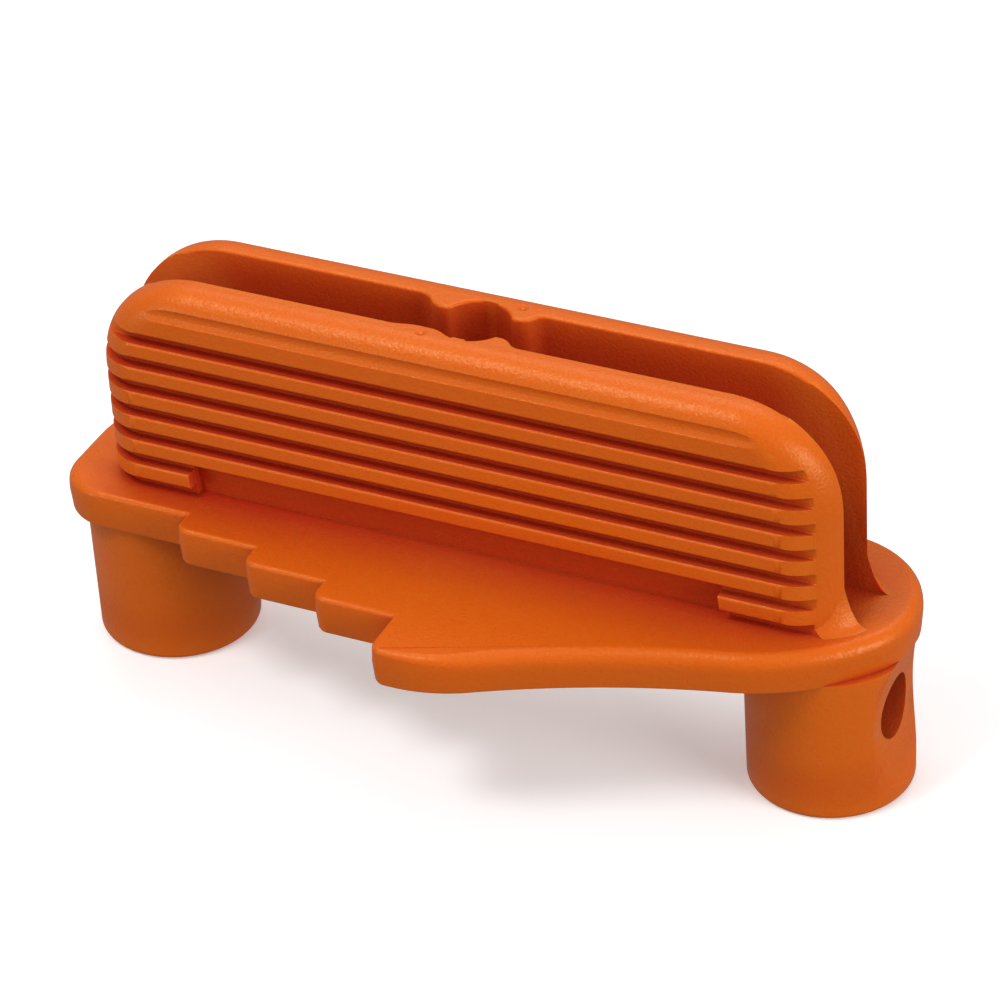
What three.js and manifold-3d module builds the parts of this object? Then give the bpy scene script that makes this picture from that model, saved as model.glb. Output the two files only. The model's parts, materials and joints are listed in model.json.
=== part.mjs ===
// Centre finder and offset marking gauge for woodworking: a deck on two round posts, with a
// slotted finger grip on top. A pencil stands in the round guide at mid-length, and the stepped
// front edge of the deck gives fixed offset lines. Millimetres, +Z up, X along the deck, the
// stepped edge faces -Y, and the posts stand on z = 0. Shapes are drawn about the pencil guide's
// axis, and the finished group is moved so that the origin is the middle of its footprint.
import * as THREE from "three";
import { mergeVertices } from "three/addons/utils/BufferGeometryUtils.js";
import Module from "manifold-3d";

const wasm = await Module();
wasm.setup();

// Driving dimensions: heights
const POST_HEIGHT = 18.75;
const DECK_THICKNESS = 5;
const GRIP_HEIGHT = 28;

// Driving dimensions: posts, set flush with the ends of the deck
const POST_RADIUS = 9.9;
const POST_TAPER = 0.15;
const POST_WALL = 4.3;
const POST_FOOT_ROUND = 0.8;
const SCOOP_RADIUS = 22.5;
const SCOOP_DEPTH = 2.2;
const CROSS_HOLE_RADIUS = 3.9;
const CROSS_HOLE_HEIGHT = 11.25;

// Driving dimensions: deck outline; the ledges are what the deck has beside a post, front and back
const DECK_LENGTH = 105;
const FRONT_LEDGE = 0.95;
const BACK_LEDGE = 4.35;
const FRONT_CORNER_RADIUS = 6.5;
const BACK_CORNER_RADIUS = 12.8;
const STEP_DEPTH = 3.175;
const STEP_PITCH = 10.55;
const STEP_COUNT = 4;
const STEP_CORNER_RADIUS = 1.8;
const NOSE_RISER_X = -2.4;
const NOSE_RADIUS = 18;
const NOSE_REACH = 6.7;
const NOSE_FLAT = 2.8;
const NOSE_SWEEP = THREE.MathUtils.degToRad(29);
const DECK_EDGE_ROUND = 0.8;

// The S-curve from the nose to the right end, as shares of its run along X and its rise in Y
const S_CURVE = [
  [0.24, 0.19],
  [0.505, 0.35],
  [0.723, 0.463],
  [0.885, 0.63],
  [0.968, 0.82],
  [1, 1],
];

// Driving dimensions: grip
const GRIP_END_MARGIN = 6.25;
const GRIP_HALF_WIDTH = 8;
const GRIP_END_RADIUS = 6;
const GRIP_CORNER_RADIUS = 13.25;
const GRIP_EDGE_ROUND = 3.3;
const SLOT_WIDTH = 7;
const FLARE_REACH = 3.5;
const FLARE_RISE = 6;

// Driving dimensions: pencil guide
const PENCIL_BORE_RADIUS = 4.15;
const GUIDE_LIP_LAND = 0.85;
const GUIDE_LIP_RUN = 4;
const GUIDE_LIPS = [
  { wall: "front", end: "left", height: 0.5 },
  { wall: "front", end: "right", height: 1.4 },
  { wall: "rear", end: "left", height: 2.1 },
  { wall: "rear", end: "right", height: 1.7 },
];

// Driving dimensions: ribs, counted from the top; the short ribs are one more below the long ones
const RIB_COUNT = 6;
const GROOVE_HEIGHT = 1.5;
const RIB_DEPTH = 1.3;
const FIRST_RIB_DROP = 4.2;
const TOP_BAND = 3.2;
const SMOOTH_END = 4;
const SHORT_RIB_LEFT = 11.25;
const SHORT_RIB_RIGHT = 10;

// Facets of curved faces
const ARC_STEPS = 5;
const FLARE_STEPS = 5;

// Levels and places that follow from them
const DECK_BOTTOM = POST_HEIGHT;
const DECK_TOP = DECK_BOTTOM + DECK_THICKNESS;
const GRIP_TOP = DECK_TOP + GRIP_HEIGHT;
const DECK_END_X = DECK_LENGTH / 2;
const POST_X = DECK_END_X - POST_RADIUS;
const POST_CORE_RADIUS = POST_RADIUS - POST_WALL;
const FIRST_TREAD = POST_RADIUS + FRONT_LEDGE;
const FIRST_RISER_X = NOSE_RISER_X - (STEP_COUNT - 1) * STEP_PITCH;
const DECK_FRONT = FIRST_TREAD + (STEP_COUNT - 1) * STEP_DEPTH + NOSE_REACH;
const DECK_BACK = POST_RADIUS + BACK_LEDGE;
const GRIP_END_X = DECK_END_X - GRIP_END_MARGIN;
const GRIP_END_CENTRE_X = GRIP_END_X - GRIP_END_RADIUS;
const SLOT_FACE = SLOT_WIDTH / 2;
const GUIDE_LIP_TIP_X = PENCIL_BORE_RADIUS + GUIDE_LIP_LAND;
const FIRST_RIB_TOP = GRIP_TOP - FIRST_RIB_DROP;
const RIB_PITCH = (GRIP_HEIGHT - FIRST_RIB_DROP) / (RIB_COUNT + 1);
const RIB_HEIGHT = RIB_PITCH - GROOVE_HEIGHT;
const RIB_END_X = GRIP_END_X - SMOOTH_END;
const FAR = 2 * DECK_LENGTH;
const SIDES = { front: -1, rear: 1 };

const orange = new THREE.MeshStandardMaterial({
  name: "orange_moulded_plastic",
  color: 0xe06818,
  roughness: 0.42,
  metalness: 0,
});

// A closed three.js geometry as a solid that can be joined and cut.
function solid(geometry) {
  const bare = geometry.index ? geometry.toNonIndexed() : geometry.clone();
  bare.deleteAttribute("normal");
  bare.deleteAttribute("uv");
  const merged = mergeVertices(bare, 1e-4);
  return new wasm.Manifold(
    new wasm.Mesh({
      numProp: 3,
      vertProperties: merged.attributes.position.array,
      triVerts: new Uint32Array(merged.index.array),
    }),
  );
}

// A solid back as a named mesh in the shared plastic.
function meshOf(name, made) {
  const data = made.getMesh();
  const geometry = new THREE.BufferGeometry();
  geometry.setAttribute("position", new THREE.BufferAttribute(data.vertProperties, 3));
  geometry.setIndex(new THREE.BufferAttribute(data.triVerts, 1));
  geometry.computeVertexNormals();
  const mesh = new THREE.Mesh(geometry, orange);
  mesh.name = name;
  return mesh;
}

function block(x0, x1, y0, y1, z0, z1) {
  const box = new THREE.BoxGeometry(x1 - x0, y1 - y0, z1 - z0);
  return solid(box.translate((x0 + x1) / 2, (y0 + y1) / 2, (z0 + z1) / 2));
}

// The outline as one polygon, with points that fall on each other taken out.
function polygon(outline) {
  const points = outline.getPoints(ARC_STEPS);
  const apart = points.filter((p, i) => p.distanceTo(points.at(i - 1)) > 1e-3);
  return new THREE.Shape(apart);
}

// A plan outline raised from z0 to z1, its upper edge rounded.
function raised(outline, z0, z1, round = 0) {
  const geometry = new THREE.ExtrudeGeometry(polygon(outline), {
    depth: z1 - z0 - round,
    bevelEnabled: round > 0,
    bevelThickness: round,
    bevelSize: round,
    bevelOffset: -round,
    bevelSegments: 3,
  });
  const made = solid(geometry.translate(0, 0, z0));
  return round > 0 ? made.intersect(block(-FAR, FAR, -FAR, FAR, z0, z1)) : made;
}

// A round bar from end to end of the given span, along X, Y or Z.
function bar(axis, radius, from, to, steps = 48) {
  const rod = new THREE.CylinderGeometry(radius, radius, to - from, steps);
  rod.translate(0, (from + to) / 2, 0);
  if (axis === "x") rod.rotateZ(-Math.PI / 2);
  if (axis === "z") rod.rotateX(Math.PI / 2);
  return rod;
}

// Deck outline, anticlockwise from the left end: front corner, treads and risers, nose, the
// S-curve to the right end, and the back edge with its two large corners.
function deckOutline() {
  const shape = new THREE.Shape();
  const frontX = -DECK_END_X + FRONT_CORNER_RADIUS;
  const frontY = -FIRST_TREAD + FRONT_CORNER_RADIUS;
  shape.absarc(frontX, frontY, FRONT_CORNER_RADIUS, Math.PI, 1.5 * Math.PI);
  for (let i = 0; i < STEP_COUNT; i++) {
    const riserX = FIRST_RISER_X + i * STEP_PITCH;
    const treadY = -FIRST_TREAD - i * STEP_DEPTH;
    shape.lineTo(riserX, treadY);
    if (i < STEP_COUNT - 1) {
      const cornerY = treadY - STEP_DEPTH + STEP_CORNER_RADIUS;
      shape.absarc(riserX + STEP_CORNER_RADIUS, cornerY, STEP_CORNER_RADIUS, Math.PI, 1.5 * Math.PI);
    }
  }
  const noseCornerX = NOSE_RISER_X + STEP_CORNER_RADIUS;
  const noseCornerY = -DECK_FRONT + STEP_CORNER_RADIUS;
  shape.absarc(noseCornerX, noseCornerY, STEP_CORNER_RADIUS, Math.PI, 1.5 * Math.PI);
  const noseCentreX = NOSE_RISER_X + NOSE_FLAT;
  const noseCentreY = -DECK_FRONT + NOSE_RADIUS;
  const noseEnd = NOSE_SWEEP - Math.PI / 2;
  shape.absarc(noseCentreX, noseCentreY, NOSE_RADIUS, -Math.PI / 2, noseEnd);
  const start = shape.currentPoint.clone();
  const backCentreY = DECK_BACK - BACK_CORNER_RADIUS;
  const span = new THREE.Vector2(DECK_END_X, backCentreY).sub(start);
  shape.splineThru(S_CURVE.map((share) => new THREE.Vector2(...share).multiply(span).add(start)));
  const backX = DECK_END_X - BACK_CORNER_RADIUS;
  shape.absarc(backX, backCentreY, BACK_CORNER_RADIUS, 0, Math.PI / 2);
  shape.absarc(-backX, backCentreY, BACK_CORNER_RADIUS, Math.PI / 2, Math.PI);
  shape.closePath();
  return shape;
}

// The thumb scoop on the outer side of the right post, which also takes the rim of the deck.
function scoop() {
  const centreX = DECK_END_X - SCOOP_DEPTH + SCOOP_RADIUS;
  const rod = bar("y", SCOOP_RADIUS, -FAR, FAR, 120);
  const low = block(-FAR, FAR, -FAR, FAR, -FAR, DECK_BOTTOM + DECK_THICKNESS / 2);
  return solid(rod.translate(centreX, 0, CROSS_HOLE_HEIGHT)).intersect(low);
}

function deck() {
  const pencilBore = solid(bar("z", PENCIL_BORE_RADIUS, 0, GRIP_TOP + 1));
  return raised(deckOutline(), DECK_BOTTOM, DECK_TOP, DECK_EDGE_ROUND)
    .subtract(pencilBore)
    .subtract(scoop());
}

// A tapered round post, open below, with a cored centre.
function post(x) {
  const foot = POST_RADIUS - POST_TAPER;
  const profile = [new THREE.Vector2(POST_CORE_RADIUS, 0)];
  for (let i = 0; i <= 3; i++) {
    const turn = (i / 3) * (Math.PI / 2);
    const r = foot - POST_FOOT_ROUND + POST_FOOT_ROUND * Math.sin(turn);
    profile.push(new THREE.Vector2(r, POST_FOOT_ROUND - POST_FOOT_ROUND * Math.cos(turn)));
  }
  profile.push(new THREE.Vector2(POST_RADIUS, POST_HEIGHT));
  profile.push(new THREE.Vector2(POST_CORE_RADIUS - POST_TAPER, POST_HEIGHT));
  profile.push(profile[0].clone());
  const turned = new THREE.LatheGeometry(profile, 48);
  return solid(turned.rotateX(Math.PI / 2).translate(x, 0, 0));
}

function scoopedPost() {
  const hole = bar("x", CROSS_HOLE_RADIUS, POST_X, DECK_END_X + 1);
  return post(POST_X).subtract(scoop()).subtract(solid(hole.translate(0, 0, CROSS_HOLE_HEIGHT)));
}

// Grip block before the slot is cut, with its sides drawn in by the given inset: upper corners
// and outer edges rounded, the right end a full round in plan.
function gripBlock(inset) {
  const left = -GRIP_END_X + inset;
  const right = GRIP_END_X - inset;
  const top = GRIP_TOP - inset;
  const corner = GRIP_CORNER_RADIUS - inset;
  const side = new THREE.Shape();
  side.moveTo(left, 0);
  side.lineTo(right, 0);
  side.absarc(right - corner, top - corner, corner, 0, Math.PI / 2);
  side.absarc(left + corner, top - corner, corner, Math.PI / 2, Math.PI);
  const halfWidth = GRIP_HALF_WIDTH - inset;
  const geometry = new THREE.ExtrudeGeometry(polygon(side), {
    depth: 2 * (halfWidth - GRIP_EDGE_ROUND),
    bevelThickness: GRIP_EDGE_ROUND,
    bevelSize: GRIP_EDGE_ROUND,
    bevelOffset: -GRIP_EDGE_ROUND,
    bevelSegments: 4,
  });
  geometry.rotateX(Math.PI / 2).translate(0, halfWidth - GRIP_EDGE_ROUND, 0);
  const endRadius = GRIP_END_RADIUS - inset;
  const endY = halfWidth - endRadius;
  const plan = new THREE.Shape();
  plan.moveTo(left, -halfWidth);
  plan.lineTo(GRIP_END_CENTRE_X, -halfWidth);
  plan.absarc(GRIP_END_CENTRE_X, -endY, endRadius, -Math.PI / 2, 0);
  plan.absarc(GRIP_END_CENTRE_X, endY, endRadius, 0, Math.PI / 2);
  plan.lineTo(left, halfWidth);
  return solid(geometry).intersect(raised(plan, DECK_TOP, GRIP_TOP));
}

// The concave flare that runs out onto the deck round one corner of the right end; side is -1
// for the front corner, 1 for the rear one. It ends against the slot.
function cornerFlare(side) {
  const profile = [new THREE.Vector2(0, 0)];
  for (let i = 0; i <= FLARE_STEPS; i++) {
    const turn = (i / FLARE_STEPS) * (Math.PI / 2);
    const out = GRIP_END_RADIUS + FLARE_REACH * (1 - Math.sin(turn));
    profile.push(new THREE.Vector2(out, FLARE_RISE * (1 - Math.cos(turn))));
  }
  profile.push(new THREE.Vector2(0, FLARE_RISE));
  const turned = new THREE.LatheGeometry(profile, 48).rotateX(Math.PI / 2);
  const centreY = side * (GRIP_HALF_WIDTH - GRIP_END_RADIUS);
  const endHalf = block(RIB_END_X, FAR, -FAR, FAR, DECK_TOP, DECK_TOP + FLARE_RISE);
  return solid(turned.translate(GRIP_END_CENTRE_X, centreY, DECK_TOP)).intersect(endHalf);
}

// The half of a solid on one side of the slot; side is -1 for the front wall, 1 for the rear.
function half(made, side) {
  const near = Math.min(side * SLOT_FACE, side * FAR);
  const far = Math.max(side * SLOT_FACE, side * FAR);
  return made.intersect(block(-FAR, FAR, near, far, 0, FAR));
}

// One grip wall: a core at the depth of the grooves, the smooth top band and the smooth end.
function gripWall(side) {
  const outer = gripBlock(0);
  const topBand = outer.intersect(
    block(-FAR, FAR, -FAR, FAR, GRIP_TOP - TOP_BAND, GRIP_TOP + 1),
  );
  const endBand = outer.intersect(block(RIB_END_X, FAR, -FAR, FAR, DECK_TOP, GRIP_TOP));
  const whole = gripBlock(RIB_DEPTH).add(topBand).add(endBand).add(cornerFlare(side));
  return half(whole, side).subtract(solid(bar("z", PENCIL_BORE_RADIUS, 0, FAR)));
}

// One rib of a wall, wrapped round the left end; level 0 is the topmost.
function rib(side, level, x0, x1) {
  const top = FIRST_RIB_TOP - level * RIB_PITCH;
  const skin = gripBlock(0).subtract(gripBlock(RIB_DEPTH));
  return half(skin.intersect(block(x0, x1, -FAR, FAR, top - RIB_HEIGHT, top)), side);
}

// One of the four lips that close the slot down to the round pencil guide.
function guideLip({ wall, end, height }) {
  const side = SIDES[wall];
  const along = end === "left" ? -1 : 1;
  const tipY = SLOT_FACE - height;
  const rootX = GUIDE_LIP_TIP_X + GUIDE_LIP_RUN;
  const lip = new THREE.Shape();
  lip.moveTo(0, SLOT_FACE);
  lip.lineTo(rootX, SLOT_FACE);
  const middleX = GUIDE_LIP_TIP_X + GUIDE_LIP_RUN / 2;
  lip.bezierCurveTo(middleX, SLOT_FACE, middleX, tipY, GUIDE_LIP_TIP_X, tipY);
  lip.lineTo(0, tipY);
  const placed = polygon(lip).getPoints().map((p) => new THREE.Vector2(along * p.x, side * p.y));
  if (side * along < 0) placed.reverse();
  const raisedLip = raised(new THREE.Shape(placed), DECK_TOP, GRIP_TOP);
  return raisedLip.subtract(solid(bar("z", PENCIL_BORE_RADIUS, 0, FAR)));
}

const group = new THREE.Group();
group.add(meshOf("deck_plate", deck()));
group.add(meshOf("left_post", post(-POST_X)));
group.add(meshOf("right_post", scoopedPost()));
for (const [wall, side] of Object.entries(SIDES)) {
  group.add(meshOf(`${wall}_grip_wall`, gripWall(side)));
  for (let level = 0; level < RIB_COUNT; level++) {
    group.add(meshOf(`${wall}_rib_${level + 1}`, rib(side, level, -FAR, RIB_END_X)));
  }
  const shortLeft = rib(side, RIB_COUNT, -FAR, -GRIP_END_X + SHORT_RIB_LEFT);
  const shortRight = rib(side, RIB_COUNT, RIB_END_X - SHORT_RIB_RIGHT, RIB_END_X);
  group.add(meshOf(`${wall}_short_rib_left`, shortLeft));
  group.add(meshOf(`${wall}_short_rib_right`, shortRight));
}
for (const lip of GUIDE_LIPS) {
  group.add(meshOf(`${lip.wall}_guide_lip_${lip.end}`, guideLip(lip)));
}
group.position.y = (DECK_FRONT - DECK_BACK) / 2;

export default group;
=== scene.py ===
"""Centre finder and offset marking gauge, one orange moulding, modelled round its frame.

The pieces are modelled in millimetres about the axis of the pencil guide, then settled into the
frame in metres. X runs along the deck, the stepped edge faces -Y and +Z is up.
"""

import json
from math import atan2, cos, degrees, radians, sin, sqrt

import bmesh
import bpy
from bpy.props import FloatProperty, FloatVectorProperty, IntProperty, PointerProperty
from mathutils import Matrix, Vector

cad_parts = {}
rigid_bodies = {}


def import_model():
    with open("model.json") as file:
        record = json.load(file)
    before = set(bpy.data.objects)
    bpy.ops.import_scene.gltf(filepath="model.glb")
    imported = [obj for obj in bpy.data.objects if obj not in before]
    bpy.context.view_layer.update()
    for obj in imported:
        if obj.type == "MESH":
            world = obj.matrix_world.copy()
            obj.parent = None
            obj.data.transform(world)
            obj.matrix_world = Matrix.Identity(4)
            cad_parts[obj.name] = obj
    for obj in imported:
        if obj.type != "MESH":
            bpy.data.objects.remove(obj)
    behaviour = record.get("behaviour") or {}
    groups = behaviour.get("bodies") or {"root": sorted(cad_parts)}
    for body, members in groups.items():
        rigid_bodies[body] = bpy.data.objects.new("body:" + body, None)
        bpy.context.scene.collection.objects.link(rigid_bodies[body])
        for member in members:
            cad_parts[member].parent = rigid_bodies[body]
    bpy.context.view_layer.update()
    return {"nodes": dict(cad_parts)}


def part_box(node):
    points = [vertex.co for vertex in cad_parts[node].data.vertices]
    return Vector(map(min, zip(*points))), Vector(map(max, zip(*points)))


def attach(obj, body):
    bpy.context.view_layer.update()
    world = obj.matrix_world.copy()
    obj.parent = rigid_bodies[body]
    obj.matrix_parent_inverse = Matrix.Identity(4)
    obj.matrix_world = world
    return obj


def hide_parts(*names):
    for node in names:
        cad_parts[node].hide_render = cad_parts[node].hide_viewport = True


bl_info = {
    "name": "Centre finder marking gauge",
    "version": (1, 0, 0),
    "blender": (4, 5, 0),
    "location": "View3D > Sidebar > Gauge",
    "description": "Models a moulded centre finder and offset marking gauge round its frame",
    "category": "Add Mesh",
}

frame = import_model()
MM = 0.001
MERGE_GAP = 0.01
FINE_MERGE_GAP = 0.004
BODY = "root"


# ---------------------------------------------------------------------------------------------
# Sizes and colours that a user would change


class GaugeSizes(bpy.types.PropertyGroup):
    tread_round: FloatProperty(
        name="Tread edge",
        description="Rounding of the upper edge along the stepped treads",
        default=0.5 * MM,
        unit="LENGTH",
    )
    rim_round: FloatProperty(
        name="Rim edge",
        description="Rounding of the deck's upper edge everywhere else",
        default=1.5 * MM,
        unit="LENGTH",
    )
    under_round: FloatProperty(
        name="Lower edge",
        description="Rounding of the deck's lower edge",
        default=0.35 * MM,
        unit="LENGTH",
    )
    rim_draft: FloatProperty(
        name="Rim draft",
        description="How far the rim leans in, above and below the parting line",
        default=0.12 * MM,
        unit="LENGTH",
    )
    grip_corner: FloatProperty(
        name="Grip corner",
        description="Radius of the grip's upper corners, seen from the side",
        default=13.25 * MM,
        unit="LENGTH",
    )
    grip_round: FloatProperty(
        name="Grip edge",
        description="Rounding of the grip's outer upper edges",
        default=3.3 * MM,
        unit="LENGTH",
    )
    grip_end: FloatProperty(
        name="Grip end",
        description="Radius of the smooth right end of the grip, seen from above; the left is tighter",
        default=7.0 * MM,
        unit="LENGTH",
    )
    slot_round: FloatProperty(
        name="Slot edge",
        description="Rounding of the upper edges along the slot",
        default=0.42 * MM,
        unit="LENGTH",
    )
    rib_round: FloatProperty(
        name="Rib edge",
        description="Rounding of the edges of the finger ribs",
        default=0.28 * MM,
        unit="LENGTH",
    )
    foot_round: FloatProperty(
        name="Post foot",
        description="Rounding of the outer edge of the posts' feet",
        default=0.8 * MM,
        unit="LENGTH",
    )
    round_steps: IntProperty(
        name="Round steps",
        description="Facets across a small rounded edge",
        default=4,
        min=1,
    )


class GaugeFinish(bpy.types.PropertyGroup):
    plastic: FloatVectorProperty(
        name="Plastic",
        description="Body colour of the moulding",
        default=(0.76, 0.134, 0.0060),
        subtype="COLOR",
        min=0,
        max=1,
    )
    # Painted shade: this colour is mixed into the hollows of the moulding by an occlusion mask,
    # standing in for the shadow that falls there.
    deep: FloatVectorProperty(
        name="Deep plastic",
        description="Colour in the recesses, where light passes through more of the plastic",
        default=(0.50, 0.022, 0.0028),
        subtype="COLOR",
        min=0,
        max=1,
    )
    roughness: FloatProperty(
        name="Roughness",
        description="Mean roughness of the satin surface",
        default=0.34,
        min=0,
        max=1,
    )
    floor: FloatVectorProperty(
        name="Floor",
        description="Colour of the studio floor",
        default=(0.93, 0.93, 0.93),
        subtype="COLOR",
        min=0,
        max=1,
    )


class GaugeStudio(bpy.types.PropertyGroup):
    azimuth: FloatProperty(
        name="Azimuth",
        description="Where the camera stands round the gauge",
        default=radians(27.03),
        subtype="ANGLE",
    )
    elevation: FloatProperty(
        name="Elevation",
        description="How far the camera looks down",
        default=radians(34.3),
        subtype="ANGLE",
    )
    roll: FloatProperty(
        name="Roll",
        description="Tilt of the camera about its own axis",
        default=radians(-3.44),
        subtype="ANGLE",
    )
    distance: FloatProperty(
        name="Distance",
        description="From the camera to the point that it looks at",
        default=0.548,
        unit="LENGTH",
    )
    lens: FloatProperty(
        name="Lens",
        description="Focal length for a sensor 36 mm wide",
        default=170.99,
        unit="CAMERA",
    )


# ---------------------------------------------------------------------------------------------
# Hand tools: selecting, drawing, cutting and finishing


def deselect_objects():
    if bpy.context.mode != "OBJECT":
        bpy.ops.object.mode_set(mode="OBJECT")
    bpy.ops.object.select_all(action="DESELECT")


def only(piece):
    """Leaves one object selected and active."""
    deselect_objects()
    piece.select_set(True)
    bpy.context.view_layer.objects.active = piece


def fresh(name):
    """Names the primitive that was just added and opens it in edit mode with nothing selected."""
    piece = bpy.context.active_object
    piece.name = name
    piece.data.name = name
    only(piece)
    bpy.ops.object.mode_set(mode="EDIT")
    bpy.ops.mesh.select_all(action="DESELECT")
    return piece


def pick(piece, kind, test):
    """Selects the faces or edges of a mesh in edit mode for which the test holds."""
    bpy.ops.mesh.select_mode(type=kind)
    bpy.ops.mesh.select_all(action="DESELECT")
    form = bmesh.from_edit_mesh(piece.data)
    parts = form.faces if kind == "FACE" else form.edges
    found = [part for part in parts if test(part)]
    for part in found:
        part.select_set(True)
    bmesh.update_edit_mesh(piece.data)
    return len(found)


def middle(edge):
    return (edge.verts[0].co + edge.verts[1].co) / 2


def push(x=0, y=0, z=0):
    """Extrudes the selection by the given step."""
    bpy.ops.mesh.extrude_region_move(TRANSFORM_OT_translate={"value": (x, y, z)})


def modifier(piece, kind, **settings):
    """Adds a modifier to a piece and applies it."""
    only(piece)
    bpy.ops.object.modifier_add(type=kind)
    added = piece.modifiers[-1]
    for key, value in settings.items():
        setattr(added, key, value)
    bpy.ops.object.modifier_apply(modifier=added.name)


def weigh(piece, share):
    """Gives each edge its share of the width of a bevel to come."""
    weights = piece.data.attributes.new("bevel_weight_edge", "FLOAT", "EDGE")
    form = bmesh.new()
    form.from_mesh(piece.data)
    weights.data.foreach_set("value", [share(edge) for edge in form.edges])
    form.free()


def discard(piece):
    mesh = piece.data
    bpy.data.objects.remove(piece)
    bpy.data.meshes.remove(mesh)


def join_cut(piece, tool, operation="DIFFERENCE"):
    """Cuts a piece with a tool, or joins the tool to it, and puts the tool away."""
    modifier(piece, "BOOLEAN", operation=operation, object=tool, solver="EXACT")
    discard(tool)


def heal(piece, distance=MERGE_GAP):
    """Merges points that fall together and turns all faces outwards."""
    only(piece)
    bpy.ops.object.mode_set(mode="EDIT")
    bpy.ops.mesh.select_all(action="SELECT")
    bpy.ops.mesh.remove_doubles(threshold=distance)
    bpy.ops.mesh.normals_make_consistent(inside=False)
    bpy.ops.object.mode_set(mode="OBJECT")


def copied(piece, name):
    """A copy of a piece with a mesh of its own."""
    only(piece)
    bpy.ops.object.duplicate(linked=False)
    twin = bpy.context.active_object
    twin.name = name
    twin.data.name = name
    return twin


def mirrored(piece, name):
    """A copy on the other side of the plane through the guide that runs along the gauge."""
    twin = copied(piece, name)
    bpy.ops.object.mode_set(mode="EDIT")
    bpy.ops.mesh.select_all(action="SELECT")
    bpy.ops.transform.resize(value=(1, -1, 1), center_override=(0, 0, 0))
    bpy.ops.mesh.normals_make_consistent(inside=False)
    bpy.ops.object.mode_set(mode="OBJECT")
    return twin


class Pen:
    """Draws an outline in one plane, a vertex pushed on at a time, and fills it."""

    AXES = {"xy": (0, 1, 2), "xz": (0, 2, 1), "yz": (1, 2, 0)}

    def __init__(self, name, start, plane="xy", level=0.0):
        self.first, self.second, self.third = self.AXES[plane]
        self.flip = -1 if plane == "xz" else 1
        self.level = level
        self.at = start
        deselect_objects()
        bpy.ops.mesh.primitive_plane_add(size=1, location=self.spot(start))
        bpy.ops.object.transform_apply(location=True)
        self.piece = fresh(name)
        bpy.ops.mesh.select_mode(type="VERT")
        bpy.ops.mesh.select_all(action="SELECT")
        bpy.ops.mesh.merge(type="CENTER")

    def spot(self, point):
        place = [0.0, 0.0, 0.0]
        place[self.first], place[self.second] = point
        place[self.third] = self.level
        return Vector(place)

    def line(self, to):
        bpy.ops.mesh.extrude_region_move(
            TRANSFORM_OT_translate={"value": self.spot(to) - self.spot(self.at)}
        )
        self.at = to
        return self

    def arc(self, centre, turn, steps):
        """Goes round the centre by turn degrees, anticlockwise when that is above 0."""
        axis = [0.0, 0.0, 0.0]
        axis[self.third] = self.flip
        bpy.ops.mesh.spin(
            steps=steps, angle=-radians(turn), center=self.spot(centre), axis=axis
        )
        x, y = self.at[0] - centre[0], self.at[1] - centre[1]
        c, s = cos(radians(turn)), sin(radians(turn))
        self.at = (centre[0] + c * x - s * y, centre[1] + s * x + c * y)
        return self

    def fill(self):
        """Closes the outline, fills it and leaves the face selected."""
        bpy.ops.mesh.select_all(action="SELECT")
        bpy.ops.mesh.remove_doubles(threshold=1e-3)
        bpy.ops.mesh.select_all(action="DESELECT")
        form = bmesh.from_edit_mesh(self.piece.data)
        ends = [vertex for vertex in form.verts if len(vertex.link_edges) < 2]
        if ends:
            for vertex in ends:
                vertex.select_set(True)
            bmesh.update_edit_mesh(self.piece.data)
            bpy.ops.mesh.edge_face_add()
        bpy.ops.mesh.select_all(action="SELECT")
        bpy.ops.mesh.edge_face_add()
        return self.piece


def whole(piece):
    """Closes edit mode and turns the faces outwards."""
    bpy.ops.mesh.select_all(action="SELECT")
    bpy.ops.mesh.normals_make_consistent(inside=False)
    bpy.ops.object.mode_set(mode="OBJECT")
    return piece


def rod(name, radius, start, end, steps=96):
    """A round cutting tool from one point to another."""
    run = Vector(end) - Vector(start)
    deselect_objects()
    bpy.ops.mesh.primitive_cylinder_add(
        vertices=steps,
        radius=radius,
        depth=run.length,
        location=(Vector(start) + Vector(end)) / 2,
        rotation=run.to_track_quat("Z", "Y").to_euler(),
    )
    bpy.ops.object.transform_apply(location=True, rotation=True)
    tool = bpy.context.active_object
    tool.name = name
    return tool


def settle(piece, plastic, *nodes):
    """Brings a finished piece into the frame in metres, with its finish, body and CAD nodes."""
    only(piece)
    piece.location = (0, GUIDE_Y * MM, 0)
    piece.scale = (MM, MM, MM)
    bpy.ops.object.transform_apply(location=True, rotation=True, scale=True)
    bpy.ops.object.shade_smooth_by_angle(angle=radians(SMOOTH_ANGLE))
    modifier(piece, "WEIGHTED_NORMAL", keep_sharp=True, weight=100)
    piece.data.materials.clear()
    piece.data.materials.append(plastic)
    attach(piece, BODY)
    if nodes:
        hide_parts(*nodes)
    return piece


# ---------------------------------------------------------------------------------------------
# Sizes read from the frame, in millimetres about the axis of the pencil guide


def reach(node):
    """Lowest and highest corner of a CAD node, in millimetres in the frame."""
    low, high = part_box(node)
    return low / MM, high / MM


SMOOTH_ANGLE = 38
_deck_low, _deck_high = reach("deck_plate")
_post_low, _post_high = reach("left_post")
GUIDE_Y = (_post_low.y + _post_high.y) / 2
DECK_END = _deck_high.x
DECK_FRONT = GUIDE_Y - _deck_low.y
DECK_BACK = _deck_high.y - GUIDE_Y
DECK_UNDER = _deck_low.z
DECK_TOP = _deck_high.z
POST_RADIUS = (_post_high.x - _post_low.x) / 2
POST_X = -(_post_high.x + _post_low.x) / 2

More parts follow.
